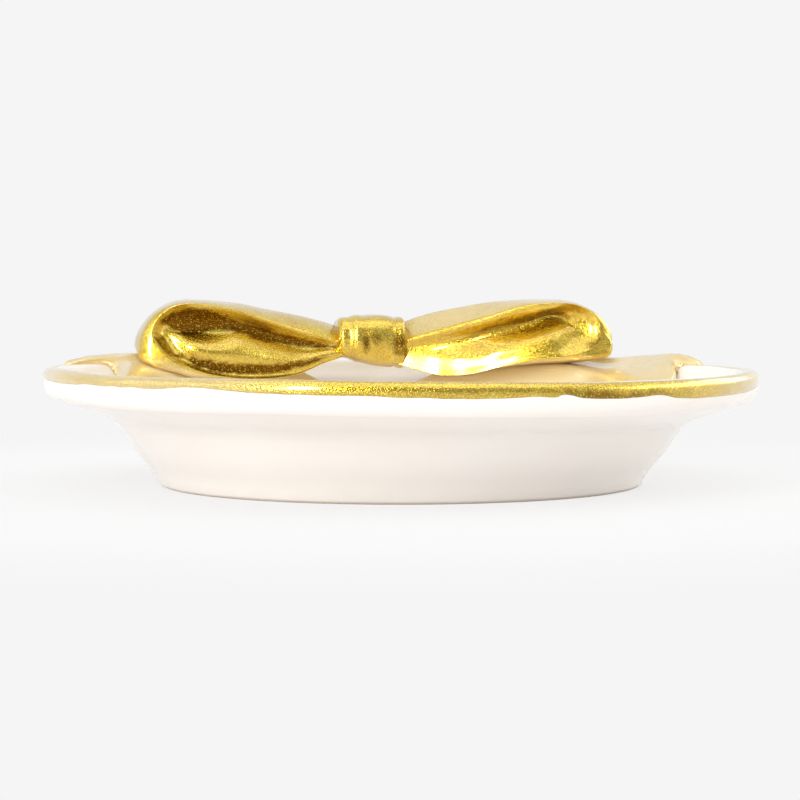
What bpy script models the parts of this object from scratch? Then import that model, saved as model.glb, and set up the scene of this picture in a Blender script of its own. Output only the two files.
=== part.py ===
# A round white ceramic trinket dish with a gilded ribbon bow on the back of its rim.
# The bow is modelled in clay: two puffed loops with dished faces, a knot between them, and two
# tails that lie along the flange and over the lip. A gold band runs round the lip.
# Units are metres and +Z is up. The dish stands on Z = 0 with its axis on Z, the bow at +Y.

import math

import bmesh
import bpy
from mathutils import Vector

for old in list(bpy.data.objects):
    bpy.data.objects.remove(old)

# Room between two pieces that touch, and the distance under which two vertices are one
CLEARANCE = 0.0003
MERGE = 0.00001

# Dish: overall
RIM_RADIUS = 0.0644
DISH_HEIGHT = 0.0205
WALL = 0.0039
FLOOR_HEIGHT = 0.0045

# Dish: flange and lip
FLANGE_WIDTH = 0.0125
FLANGE_RISE = 0.0033
LIP_HEIGHT = 0.0054
LIP_BEAD = 0.0026
LIP_TUCK = 0.0010
LIP_ROUND = 0.0016

# Dish: wall and foot ring
WALL_RUN = 0.0068
FOOT_HEIGHT = 0.0031
FOOT_FLARE = 0.0018
FOOT_WIDTH = 0.0040
FOOT_RECESS = 0.0012
FOOT_ROUND = 0.0007
WALL_ROUND = 0.0035
COVE_ROUND = 0.0060
# Where the wall swells: (share of its run outwards, share of its rise)
WALL_SWELL_SHARES = ((0.43, 0.38), (0.70, 0.70))

# Gold band on the lip
GILT_THICKNESS = 0.0004
# Where the band ends on the lip's outer face, as shares of the way up and over it
GILT_UPPER_SHARE = 0.66
# The brushed lower edge, at even steps anticlockwise from +X
GILT_LOWER_SHARES = (0.43, 0.47, 0.44, 0.40, 0.47, 0.48, 0.43, 0.46, 0.51, 0.46, 0.46, 0.52,
                     0.55, 0.54, 0.54, 0.55, 0.52, 0.46, 0.40, 0.46, 0.40, 0.32, 0.33, 0.42)

# Bow: the knot stands inside the flange's inner edge, and the loops bend forwards from it
KNOT_WIDTH = 0.0129
KNOT_DEPTH = 0.0130
KNOT_HEIGHT = 0.0104
KNOT_INSET = 0.0011
BOW_BEND = 0.0085
# How far the loops' undersides lie below the lip's top
BOW_SINK = 0.0028
# How far the knot's top lies below the loops' tops
KNOT_DROP = 0.0033
# (share of half the knot's width, share of its full section), with a pleat at each end
KNOT_SHARES = ((-1.0, 0.76), (-0.93, 0.88), (-0.84, 0.935), (-0.74, 0.93), (-0.64, 0.965),
               (-0.45, 1.0), (0.0, 1.0), (0.42, 0.99), (0.60, 0.96), (0.70, 0.925), (0.82, 0.93),
               (0.92, 0.88), (1.0, 0.76))
# How much higher the knot's underside is at its left end, as a share of its height
KNOT_LEAN_SHARE = 0.15

# Bow: loops, from the knot to their outer end, and from the belly to the top
LOOP_LENGTH = 0.0408
LOOP_HEIGHT = 0.0158
LOOP_DEPTH = 0.0225
HOLLOW_DEPTH = 0.0034
CROWN_DEPTH = 0.0050
# Each loop's outlines, as (share of the length, share of the height): the ridge round its
# dished face, then the fullest outline behind it, each as a lower and an upper line
LEFT_LOOP_SHARES = (
    (((0.0, 0.24), (0.085, 0.17), (0.20, 0.05), (0.33, 0.0), (0.476, 0.0),
      (0.627, 0.03), (0.756, 0.08), (0.86, 0.25), (0.925, 0.48)),
     ((0.0, 0.45), (0.10, 0.52), (0.20, 0.59), (0.365, 0.73), (0.538, 0.865),
      (0.694, 0.93), (0.80, 0.925), (0.885, 0.83), (0.932, 0.66))),
    (((0.0, 0.24), (0.085, 0.19), (0.20, 0.09), (0.33, 0.02), (0.476, 0.0),
      (0.627, -0.03), (0.756, -0.06), (0.88, -0.04), (1.0, 0.20)),
     ((0.0, 0.655), (0.10, 0.73), (0.22, 0.80), (0.365, 0.875), (0.50, 0.945),
      (0.66, 0.99), (0.80, 0.985), (0.92, 0.83), (0.985, 0.56))))
RIGHT_LOOP_SHARES = (
    (((0.0, 0.13), (0.08, 0.07), (0.17, 0.02), (0.30, 0.04), (0.45, 0.14),
      (0.60, 0.23), (0.75, 0.27), (0.86, 0.34), (0.925, 0.50)),
     ((0.0, 0.46), (0.10, 0.55), (0.20, 0.625), (0.365, 0.75), (0.538, 0.89),
      (0.68, 0.945), (0.80, 0.925), (0.885, 0.83), (0.935, 0.66))),
    (((0.0, 0.13), (0.085, 0.09), (0.20, 0.06), (0.33, 0.07), (0.476, 0.12),
      (0.627, 0.16), (0.756, 0.17), (0.88, 0.17), (1.0, 0.26)),
     ((0.0, 0.69), (0.09, 0.78), (0.215, 0.86), (0.365, 0.935), (0.50, 0.98),
      (0.66, 0.995), (0.80, 0.97), (0.925, 0.82), (1.0, 0.56))))
# How far the loop reaches to the front and to the back of the bow's line, along its length
FRONT_SHARES = ((0.0, 0.20), (0.10, 0.26), (0.25, 0.36), (0.45, 0.46), (0.70, 0.47),
                (0.90, 0.34), (1.0, 0.24))
BACK_SHARES = ((0.0, 0.22), (0.15, 0.30), (0.35, 0.40), (0.60, 0.40), (0.80, 0.32), (1.0, 0.06))
# How deep the dished face is along the loop, and from its lower edge to its upper one
HOLLOW_ALONG_SHARES = ((0.0, 0.0), (0.12, 0.35), (0.35, 0.8), (0.65, 1.0), (0.85, 0.8), (1.0, 0.0))
HOLLOW_ACROSS_SHARES = ((0.0, 0.22), (0.14, -0.12), (0.36, 0.30), (0.64, 1.0), (0.86, 0.62),
                        (1.0, 0.0))
VALLEY_SHARE = 0.62
# The valley line starts and ends short of the loop's own ends
VALLEY_START_SHARE = 0.05
VALLEY_END_SHARE = 0.88
# The clay settles on what it lies on: up to this many times that bed's rise above the belly
SETTLE_SHARE = 2.2

# Bow: tails on the flange, each turned away from the back of the dish
TAIL_THICKNESS = 0.0031
TAIL_MARGIN = 0.0010
TAIL_ROOT_ANGLE = math.radians(16)
TAIL_TIP_ANGLE = math.radians(74)
# Thickness from a tail's inner edge to its outer one, and along each tail to its tip
TAIL_ACROSS_SHARES = ((0.0, 0.35), (0.08, 0.80), (0.20, 0.94), (0.42, 1.0), (0.68, 0.92), (0.84, 0.50),
                      (0.95, 0.42), (1.0, 0.30))
LEFT_TAIL_ALONG_SHARES = ((0.0, 0.4), (0.15, 0.75), (0.3, 0.95), (0.6, 1.0), (0.85, 0.95),
                          (1.0, 0.7))
RIGHT_TAIL_ALONG_SHARES = ((0.0, 0.4), (0.15, 0.7), (0.3, 0.8), (0.6, 0.75), (0.76, 1.05),
                           (0.91, 1.4), (1.0, 1.25))
# How much of the flange's width a tail covers, from its root to its tip
TAIL_COVER_SHARES = ((0.0, 0.18), (0.15, 0.50), (0.38, 1.0), (0.6, 1.0), (1.0, 1.0))
# The cut end, from a tail's inner edge to its outer one, notched like a ribbon
LEFT_TAIL_CUT_SHARES = ((0.0, 0.95), (0.33, 0.93), (0.48, 0.885), (0.60, 0.835), (0.75, 0.80),
                        (0.83, 0.84), (0.90, 0.91), (1.0, 1.02))
RIGHT_TAIL_CUT_SHARES = ((0.0, 1.04), (0.35, 1.03), (0.55, 1.0), (0.75, 0.955), (0.85, 0.985),
                         (1.0, 1.02))

# Fineness
TURN_STEPS = 64
CORNER_STEPS = 2
BAND_STEPS = 5
LOOP_POINTS = 17
FACE_INSET_SHARES = (0.80, 0.58, 0.36, 0.16)
CROWN_STEPS = 3
BACK_STEPS = 4
KNOT_POINTS = 24
TAIL_STATIONS = 22
TAIL_ACROSS = 10

# Colours and finish: (red, green, blue, alpha), roughness, metallic
GLAZE = ((0.90, 0.84, 0.80, 1.0), 0.25, 0.0)
LUSTRE = ((0.83, 0.60, 0.18, 1.0), 0.22, 1.0)


def rounded(corners, steps):
    """A line through (x, y, fillet) corners, with each corner turned as a smooth fillet."""
    line = []
    for index, (x, y, fillet) in enumerate(corners):
        corner = Vector((x, y))
        if not fillet:
            line.append(corner)
            continue
        back = Vector(corners[index - 1][:2]) - corner
        ahead = Vector(corners[index + 1][:2]) - corner
        reach = fillet / math.tan(back.angle(ahead) / 2)
        reach = min(reach, back.length / 2, ahead.length / 2)
        start = corner + back.normalized() * reach
        end = corner + ahead.normalized() * reach
        for step in range(steps + 1):
            share = step / steps
            line.append(start.lerp(corner, share).lerp(corner.lerp(end, share), share))
    return line


def spline(points, count):
    """Evenly stepped points of a smooth open curve through the given ones."""
    points = [Vector(point) for point in points]
    ends = [2 * points[0] - points[1]] + points + [2 * points[-1] - points[-2]]
    line = []
    for step in range(count):
        place = step / (count - 1) * (len(points) - 1)
        span = min(int(place), len(points) - 2)
        t = place - span
        a, b, c, d = ends[span:span + 4]
        line.append(b + (c - a) * (t / 2) + (2 * a - 5 * b + 4 * c - d) * (t * t / 2)
                    + (3 * b - a - 3 * c + d) * (t ** 3 / 2))
    return line


def read(table, place):
    """The smooth value of a table of (place, value) pairs at one place."""
    place = min(max(place, table[0][0]), table[-1][0])
    span = 0
    while span < len(table) - 2 and place > table[span + 1][0]:
        span += 1

    def slope(index):
        low, high = max(index - 1, 0), min(index + 1, len(table) - 1)
        return (table[high][1] - table[low][1]) / (table[high][0] - table[low][0])

    (x0, y0), (x1, y1) = table[span], table[span + 1]
    width = x1 - x0
    t = (place - x0) / width
    return ((2 * t ** 3 - 3 * t ** 2 + 1) * y0 + (t ** 3 - 2 * t ** 2 + t) * width * slope(span)
            + (3 * t ** 2 - 2 * t ** 3) * y1 + (t ** 3 - t ** 2) * width * slope(span + 1))


def crossing(a, b, height):
    """The point at this height on the line through two points of the dish's profile."""
    return a.lerp(b, (height - a.y) / (b.y - a.y))


def dish_corners():
    """The dish's section as (radius, height, fillet) corners, from the axis under the foot,
    up the outside, over the lip and back down the inside to the axis."""
    body_radius = RIM_RADIUS - GILT_THICKNESS - CLEARANCE
    knee = Vector((RIM_RADIUS - FLANGE_WIDTH, DISH_HEIGHT - LIP_HEIGHT - FLANGE_RISE))
    groove = Vector((knee.x - WALL_RUN, FOOT_HEIGHT))
    foot_radius = groove.x - FOOT_FLARE
    swells = [groove + Vector((across * (knee.x - groove.x), up * (knee.y - groove.y)))
              for across, up in WALL_SWELL_SHARES]
    under_lip = Vector((body_radius - LIP_TUCK, DISH_HEIGHT - LIP_HEIGHT))

    wall_line = (knee - groove).normalized()
    flange_line = (under_lip - knee).normalized()
    inward = wall_line.orthogonal().normalized() + flange_line.orthogonal().normalized()
    inner_knee = knee + inward * (WALL / inward.dot(wall_line.orthogonal().normalized()))
    floor_edge = crossing(inner_knee, inner_knee + wall_line, FLOOR_HEIGHT)
    bead_radius = body_radius - LIP_BEAD
    bead_foot = inner_knee + flange_line * ((bead_radius - LIP_BEAD / 2 - inner_knee.x)
                                            / flange_line.x)
    foot_inner = foot_radius - FOOT_WIDTH
    return [
        (0, FOOT_RECESS, 0),
        (foot_inner - FOOT_RECESS, FOOT_RECESS, FOOT_ROUND),
        (foot_inner, 0, FOOT_ROUND),
        (foot_radius, 0, FOOT_ROUND),
        (groove.x, groove.y, FOOT_ROUND),
        (swells[0].x, swells[0].y, WALL_ROUND),
        (swells[1].x, swells[1].y, WALL_ROUND),
        (knee.x, knee.y, WALL_ROUND),
        (under_lip.x, under_lip.y, FOOT_ROUND),
        (body_radius, under_lip.y + LIP_TUCK, LIP_ROUND),
        (body_radius, DISH_HEIGHT, LIP_ROUND),
        (bead_radius, DISH_HEIGHT, LIP_TUCK),
        (bead_foot.x, bead_foot.y, LIP_ROUND),
        (inner_knee.x, inner_knee.y, WALL_ROUND),
        (floor_edge.x, floor_edge.y, COVE_ROUND),
        (0, FLOOR_HEIGHT, 0),
    ]


DISH_CORNERS = dish_corners()
DISH_LINE = rounded(DISH_CORNERS, CORNER_STEPS)
FLANGE_INNER_RADIUS = DISH_CORNERS[13][0]
# The lip's outer face, from its lower edge up and over its top
LIP_CORNERS = DISH_CORNERS[8:12]
LIP_LINE = rounded([(*LIP_CORNERS[0][:2], 0)] + LIP_CORNERS[1:3] + [(*LIP_CORNERS[3][:2], 0)], 6)


def dish_top(radius):
    """Height of the dish's upper surface at this radius, or of its lip beyond it."""
    highest = FOOT_RECESS
    for a, b in zip(DISH_LINE, DISH_LINE[1:]):
        if min(a.x, b.x) <= radius <= max(a.x, b.x) and a.x != b.x:
            highest = max(highest, a.lerp(b, (radius - a.x) / (b.x - a.x)).y)
    return highest if radius < DISH_CORNERS[10][0] - LIP_ROUND else DISH_HEIGHT


def seat(radius):
    """Height at which something may lie on the dish, clear of the lip's turn beside it."""
    beside = LIP_ROUND / 2
    return CLEARANCE + max(dish_top(radius + offset) for offset in (-beside, 0, beside))


def over_tails(radius):
    """Height at which a loop may lie on the tails, or on the room that they would take."""
    return seat(radius) + TAIL_THICKNESS + CLEARANCE


def finish(name, look):
    """A material of its own for one piece."""
    colour, roughness, metallic = look
    material = bpy.data.materials.new(name + "_finish")
    material.use_nodes = True
    shader = material.node_tree.nodes["Principled BSDF"]
    shader.inputs["Base Color"].default_value = colour
    shader.inputs["Roughness"].default_value = roughness
    shader.inputs["Metallic"].default_value = metallic
    material.diffuse_color = colour
    return material


def add_piece(name, bm, look, sharp_angle):
    """Turn a finished bmesh into a smooth-shaded object with its own material."""
    bmesh.ops.remove_doubles(bm, verts=bm.verts, dist=MERGE)
    bmesh.ops.recalc_face_normals(bm, faces=bm.faces)
    mesh = bpy.data.meshes.new(name)
    bm.to_mesh(mesh)
    bm.free()
    mesh.shade_smooth()
    mesh.set_sharp_from_angle(angle=sharp_angle)
    piece = bpy.data.objects.new(name, mesh)
    piece.data.materials.append(finish(name, look))
    bpy.context.collection.objects.link(piece)
    return piece


def add_ring(bm, points):
    """A closed ring of edges through the points."""
    corners = [bm.verts.new(point) for point in points]
    return [bm.edges.new((corners[index - 1], corner)) for index, corner in enumerate(corners)]


def loft(bm, rings, closed):
    """Skin neighbouring rings, and the last with the first where the loft is closed."""
    edges = [add_ring(bm, ring) for ring in rings]
    pairs = list(zip(edges, edges[1:]))
    if closed:
        pairs.append((edges[-1], edges[0]))
    for first, second in pairs:
        bmesh.ops.bridge_loops(bm, edges=first + second)
    return edges


def cap(bm, ring):
    """One flat face over an end ring."""
    bmesh.ops.contextual_create(bm, geom=ring)


def zip_up(bm, ring):
    """Close a ring whose lower half faces its upper half, with a strip of quads."""
    corners = []
    for edge in ring:
        corners.append(edge.verts[1])
    last = len(corners) - 1
    for index in range(len(corners) // 2 - 1):
        bm.faces.new((corners[index], corners[index + 1],
                      corners[last - index - 1], corners[last - index]))


def make_dish():
    """The fired body, turned from its section."""
    bm = bmesh.new()
    profile = [bm.verts.new((point.x, 0, point.y)) for point in DISH_LINE]
    edges = [bm.edges.new(pair) for pair in zip(profile, profile[1:])]
    bmesh.ops.spin(bm, geom=profile + edges, axis=(0, 0, 1), cent=(0, 0, 0), dvec=(0, 0, 0),
                   angle=math.tau, steps=TURN_STEPS, use_merge=True)
    return add_piece("dish_body", bm, GLAZE, math.radians(50))


def lip_point(share, rise):
    """A point at this share of the way up and over the lip, at this height above its surface."""
    lengths = [(b - a).length for a, b in zip(LIP_LINE, LIP_LINE[1:])]
    left = share * sum(lengths)
    span = 0
    while span < len(lengths) - 1 and left > lengths[span]:
        left -= lengths[span]
        span += 1
    a, b = LIP_LINE[span], LIP_LINE[span + 1]
    along = (b - a).normalized()
    return a + along * left + Vector((along.y, -along.x)) * rise


def make_band():
    """The gold on the lip's outer face, with its brushed lower edge."""
    edge_table = [(index / len(GILT_LOWER_SHARES), share)
                  for index, share in enumerate(GILT_LOWER_SHARES)]
    edge_table.append((1.0, GILT_LOWER_SHARES[0]))
    sections = []
    for step in range(TURN_STEPS):
        turn = step / TURN_STEPS
        lower = read(edge_table, turn)
        shares = [lower + (GILT_UPPER_SHARE - lower) * index / BAND_STEPS
                  for index in range(BAND_STEPS + 1)]
        section = [lip_point(share, CLEARANCE) for share in shares]
        section += [lip_point(share, CLEARANCE + GILT_THICKNESS) for share in reversed(shares)]
        angle = turn * math.tau
        sections.append([(point.x * math.cos(angle), point.x * math.sin(angle), point.y)
                         for point in section])
    bm = bmesh.new()
    loft(bm, sections, closed=True)
    return add_piece("rim_band", bm, LUSTRE, math.radians(50))


def bow_line(x):
    """Where the bow's middle line runs, from front to back, at this distance from the centre."""
    return FLANGE_INNER_RADIUS - KNOT_INSET - BOW_BEND * (x / (KNOT_WIDTH / 2 + LOOP_LENGTH)) ** 2


def make_knot():
    """The knot: a rounded cushion lofted from side to side, with a pleat near each end."""
    top = DISH_HEIGHT - BOW_SINK + LOOP_HEIGHT - KNOT_DROP
    rings = []
    for across, size in KNOT_SHARES:
        middle = top - KNOT_HEIGHT / 2
        lift = KNOT_HEIGHT * KNOT_LEAN_SHARE * (1 - across) / 2
        ring = []
        for step in range(KNOT_POINTS):
            angle = math.tau * step / KNOT_POINTS
            wide, high = math.cos(angle), math.sin(angle)
            wide = math.copysign(abs(wide) ** 0.7, wide)
            high = math.copysign(abs(high) ** 0.7, high)
            half = KNOT_HEIGHT / 2 - (lift if high < 0 else 0)
            ring.append((across * KNOT_WIDTH / 2, bow_line(0) + wide * size * KNOT_DEPTH / 2,
                         middle + high * size * half))
        rings.append(ring)
    bm = bmesh.new()
    edges = loft(bm, rings, closed=False)
    cap(bm, edges[0])
    cap(bm, edges[-1])
    return add_piece("bow_knot", bm, LUSTRE, math.radians(60))


def make_loop(name, side, outline_shares):
    """A loop of the bow: rings from the valley of its dished face out to the ridge, over the
    crown to the fullest outline, and in again to the back, laid over the tail below it."""
    ridge, crest = (spline(lower, LOOP_POINTS) + spline(upper, LOOP_POINTS)[::-1]
                    for lower, upper in outline_shares)
    half = LOOP_POINTS
    neck = KNOT_WIDTH / 2 + CLEARANCE
    belly = DISH_HEIGHT - BOW_SINK

    def front(share):
        return bow_line(neck + share * LOOP_LENGTH) - read(FRONT_SHARES, share) * LOOP_DEPTH

    def back(share):
        return bow_line(neck + share * LOOP_LENGTH) + read(BACK_SHARES, share) * LOOP_DEPTH

    def place(point, y):
        x = neck + point.x * LOOP_LENGTH
        bed = over_tails(math.hypot(x, y)) - belly
        rise = point.y * LOOP_HEIGHT
        if rise < bed * SETTLE_SHARE:
            rise = bed + rise * (1 - 2 / SETTLE_SHARE) + (rise / SETTLE_SHARE) ** 2 / bed
        return Vector((side * x, y, belly + rise))

    rings = []
    for inset in (*FACE_INSET_SHARES, 0):
        ring = []
        for index, point in enumerate(ridge):
            lower, upper = sorted((point, ridge[2 * half - 1 - index]), key=lambda p: p.y)
            valley = lower.lerp(upper, VALLEY_SHARE)
            valley.x = VALLEY_START_SHARE + valley.x * (VALLEY_END_SHARE - VALLEY_START_SHARE)
            inner = point.lerp(valley, inset)
            across = VALLEY_SHARE * inset
            if point is upper:
                across = 1 - (1 - VALLEY_SHARE) * inset
            depth = read(HOLLOW_ALONG_SHARES, inner.x) * read(HOLLOW_ACROSS_SHARES, across)
            ring.append(place(inner, front(inner.x) + depth * HOLLOW_DEPTH))
        rings.append(ring)
    for step in range(1, CROWN_STEPS + 1):
        angle = math.pi / 2 * step / CROWN_STEPS
        ring = []
        for inner, outer in zip(ridge, crest):
            point = inner.lerp(outer, math.sin(angle))
            ring.append(place(point, front(point.x) + CROWN_DEPTH * (1 - math.cos(angle))))
        rings.append(ring)
    for step in range(1, BACK_STEPS + 1):
        angle = math.radians(75) * step / BACK_STEPS
        ring = []
        for index, outer in enumerate(crest):
            lower = crest[min(index, 2 * half - 1 - index)]
            point = lower.lerp(outer, math.cos(angle))
            start = front(point.x) + CROWN_DEPTH
            ring.append(place(point, start + (back(point.x) - start) * math.sin(angle)))
        rings.append(ring)
    bm = bmesh.new()
    edges = loft(bm, rings, closed=False)
    zip_up(bm, edges[0])
    zip_up(bm, edges[-1])
    return add_piece(name, bm, LUSTRE, math.radians(60))


def make_tail(name, side, along_shares, cut_shares):
    """A ribbon tail: its section swept round the flange, from under the loop to a cut end."""
    inner_radius = FLANGE_INNER_RADIUS + TAIL_MARGIN
    width = RIM_RADIUS - TAIL_MARGIN - inner_radius
    rings = []
    for station in range(TAIL_STATIONS):
        along = station / (TAIL_STATIONS - 1)
        thickness = TAIL_THICKNESS * read(along_shares, along)
        cover = width * read(TAIL_COVER_SHARES, along)
        under, over = [], []
        for step in range(TAIL_ACROSS + 1):
            across = step / TAIL_ACROSS
            radius = inner_radius + cover * across
            tip = TAIL_TIP_ANGLE * read(cut_shares, across)
            angle = TAIL_ROOT_ANGLE + (tip - TAIL_ROOT_ANGLE) * along
            crown = read(TAIL_ACROSS_SHARES, across)
            plan = Vector((side * radius * math.sin(angle), radius * math.cos(angle), 0))
            under.append(plan + Vector((0, 0, seat(radius))))
            over.append(plan + Vector((0, 0, seat(radius) + thickness * crown)))
        rings.append(under + over[::-1])
    bm = bmesh.new()
    edges = loft(bm, rings, closed=False)
    zip_up(bm, edges[0])
    zip_up(bm, edges[-1])
    return add_piece(name, bm, LUSTRE, math.radians(60))


make_dish()
make_band()
make_knot()
make_loop("bow_loop_left", -1, LEFT_LOOP_SHARES)
make_loop("bow_loop_right", 1, RIGHT_LOOP_SHARES)
make_tail("bow_tail_left", -1, LEFT_TAIL_ALONG_SHARES, LEFT_TAIL_CUT_SHARES)
make_tail("bow_tail_right", 1, RIGHT_TAIL_ALONG_SHARES, RIGHT_TAIL_CUT_SHARES)
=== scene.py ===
# A round white ceramic trinket dish with a gilded clay bow on the back of its rim.
# The file follows the making: the turned and glazed dish, the gold band on its lip, the two
# ribbon tails, the two loops, the knot that holds them, and then the studio round it.

import math

import bmesh
import bpy
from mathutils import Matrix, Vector, noise


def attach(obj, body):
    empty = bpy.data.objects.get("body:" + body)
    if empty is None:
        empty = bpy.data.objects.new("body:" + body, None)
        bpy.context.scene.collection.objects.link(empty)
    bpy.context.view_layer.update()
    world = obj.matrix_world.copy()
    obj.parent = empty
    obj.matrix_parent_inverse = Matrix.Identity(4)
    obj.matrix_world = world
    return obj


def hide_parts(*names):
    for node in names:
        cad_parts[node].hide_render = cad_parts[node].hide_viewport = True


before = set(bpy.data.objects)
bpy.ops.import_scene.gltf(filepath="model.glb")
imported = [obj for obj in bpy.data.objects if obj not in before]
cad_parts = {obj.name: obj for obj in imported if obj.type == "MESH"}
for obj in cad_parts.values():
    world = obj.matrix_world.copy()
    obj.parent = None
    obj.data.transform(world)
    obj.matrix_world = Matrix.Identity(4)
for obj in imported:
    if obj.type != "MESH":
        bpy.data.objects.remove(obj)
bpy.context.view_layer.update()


# Dish
# One piece of white earthenware: a foot ring, a softly swelling wall, a flared flange and a
# thick rolled lip. It is turned, dipped in a warm white gloss glaze and fired, and the ring that
# it stands on is wiped bare.
mm = 0.001
# Vertices closer than this are one
merge_distance = 0.002 * mm
dish_turns = 288
# Radius, height and rounding of each corner of its section, in millimetres
dish_section = (
    (0.0, 1.2, 0), (38.2, 1.2, 0.4), (39.4, 0.0, 0.3), (43.3, 0.0, 0.5), (45.1, 3.1, 1.0),
    (48.0, 6.4, 1.5), (49.9, 9.2, 1.5), (51.9, 11.8, 1.7), (57.2, 13.25, 3.0), (62.9, 15.2, 0.7),
    (64.1, 16.4, 0.8), (64.1, 20.4, 1.3), (61.1, 20.5, 0.7), (59.8, 18.3, 0.9), (49.6, 15.2, 1.6),
    (41.25, 4.5, 4.0), (0.0, 4.5, 0),
)
# The lip dried a little out of true: its rise in millimetres at each angle in degrees
lip_rise = ((0, 0.15), (60, 0.1), (120, 0.3), (165, 0.7), (195, 0.9), (212, 0.5), (245, 0.5),
            (262, 0.3), (277, 0.15), (292, -0.05), (312, 0.0), (328, 0.15), (345, 0.3),
            (360, 0.15))
# The radii between which it warped, in millimetres
warp_start, warp_end = 46, 60
# Size and height of the dents that turning by hand leaves, and the most that one may stand out
dish_dents = (18 * mm, 0.05 * mm)
dish_dent_limit = 0.03 * mm


def read(table, place):
    """The value of a table of (place, value) pairs at one place, on a smooth line."""
    place = min(max(place, table[0][0]), table[-1][0])
    span = 0
    while span < len(table) - 2 and place > table[span + 1][0]:
        span += 1
    slopes = []
    for index in (span, span + 1):
        low, high = max(index - 1, 0), min(index + 1, len(table) - 1)
        slopes.append((table[high][1] - table[low][1]) / (table[high][0] - table[low][0]))
    (x0, y0), (x1, y1) = table[span], table[span + 1]
    width = x1 - x0
    t = (place - x0) / width
    return ((2 * t ** 3 - 3 * t ** 2 + 1) * y0 + (t ** 3 - 2 * t ** 2 + t) * width * slopes[0]
            + (3 * t ** 2 - 2 * t ** 3) * y1 + (t ** 3 - t ** 2) * width * slopes[1])


def wobble(place, size, height):
    """How far a hand-worked surface strays at this place."""
    return noise.noise(place / size) * height


def clamped(share):
    """A share that is never less than none or more than 1."""
    return min(max(share, 0), 1)


def eased(value, low, high):
    """How far a value has come from low to high, from none to 1, with a gentle start and end."""
    share = clamped((value - low) / (high - low))
    return share * share * (3 - 2 * share)


def angle_of(place):
    """Where round the dish a place lies, in degrees anticlockwise from +X."""
    return math.degrees(math.atan2(place.y, place.x)) % 360


def out_of_true(place):
    """The dried lip's rise at this place, none at the foot and all of it at the lip."""
    share = eased(math.hypot(place.x, place.y), warp_start * mm, warp_end * mm)
    return share * read(lip_rise, angle_of(place)) * mm


def add_piece(name, bm, material, sharp_angle=180):
    """Turn a finished bmesh into a smooth-shaded object that rides on the dish."""
    bmesh.ops.remove_doubles(bm, verts=bm.verts, dist=merge_distance)
    bmesh.ops.recalc_face_normals(bm, faces=bm.faces)
    mesh = bpy.data.meshes.new(name)
    bm.to_mesh(mesh)
    bm.free()
    mesh.shade_smooth()
    if sharp_angle < 180:
        mesh.set_sharp_from_angle(angle=math.radians(sharp_angle))
    mesh.materials.append(material)
    piece = bpy.data.objects.new(name, mesh)
    bpy.context.scene.collection.objects.link(piece)
    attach(piece, "root")
    return piece


def add_node(tree, kind, place, **settings):
    """A shader node with its settings, and with its unlinked inputs given by their names."""
    node = tree.nodes.new(kind)
    node.location = place
    for name, value in settings.items():
        if hasattr(node, name):
            setattr(node, name, value)
        else:
            node.inputs[name.replace("_", " ")].default_value = value
    return node


def add_ramp(tree, place, *stops):
    """A colour ramp with the position and the colour of each of its two stops."""
    node = add_node(tree, "ShaderNodeValToRGB", place)
    for element, (position, colour) in zip(node.color_ramp.elements, stops):
        element.position, element.color = position, colour
    return node


def link_all(tree, *links):
    """Link every output to the input that is paired with it."""
    for start, end in links:
        tree.links.new(start, end)


def start_material(name):
    """A new material with its shader, and the node tree to build the rest in."""
    material = bpy.data.materials.new(name)
    material.use_nodes = True
    tree = material.node_tree
    return material, tree, tree.nodes["Principled BSDF"]


# Uneven surface: slow swells and a fine grain of specks, as one height for a Bump node
uneven = bpy.data.node_groups.new("uneven surface", "ShaderNodeTree")
for socket in ("Swell Scale", "Swell Height", "Grain Scale", "Grain Height"):
    uneven.interface.new_socket(socket, in_out="INPUT", socket_type="NodeSocketFloat")
for socket in ("Height", "Grain"):
    uneven.interface.new_socket(socket, in_out="OUTPUT", socket_type="NodeSocketFloat")
group_in = add_node(uneven, "NodeGroupInput", (-900, 0))
place_on_piece = add_node(uneven, "ShaderNodeTexCoord", (-900, 300))
swell = add_node(uneven, "ShaderNodeTexNoise", (-650, 200), Detail=2.0, Roughness=0.5)
grain = add_node(uneven, "ShaderNodeTexNoise", (-650, -200), Detail=2.0, Roughness=0.6)
specks = add_node(uneven, "ShaderNodeMapRange", (-450, -300), interpolation_type="SMOOTHSTEP",
                  From_Min=0.42, From_Max=0.72)
swell_height = add_node(uneven, "ShaderNodeMath", (-250, 200), operation="MULTIPLY")
grain_height = add_node(uneven, "ShaderNodeMath", (-250, -200), operation="MULTIPLY")
both_heights = add_node(uneven, "ShaderNodeMath", (-50, 0), operation="ADD")
group_out = add_node(uneven, "NodeGroupOutput", (150, 0))
link_all(
    uneven,
    (place_on_piece.outputs["Object"], swell.inputs["Vector"]),
    (place_on_piece.outputs["Object"], grain.inputs["Vector"]),
    (group_in.outputs["Swell Scale"], swell.inputs["Scale"]),
    (group_in.outputs["Grain Scale"], grain.inputs["Scale"]),
    (swell.outputs["Fac"], swell_height.inputs[0]),
    (group_in.outputs["Swell Height"], swell_height.inputs[1]),
    (grain.outputs["Fac"], specks.inputs["Value"]),
    (specks.outputs["Result"], grain_height.inputs[0]),
    (group_in.outputs["Grain Height"], grain_height.inputs[1]),
    (swell_height.outputs[0], both_heights.inputs[0]),
    (grain_height.outputs[0], both_heights.inputs[1]),
    (both_heights.outputs[0], group_out.inputs["Height"]),
    (specks.outputs["Result"], group_out.inputs["Grain"]))


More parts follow.
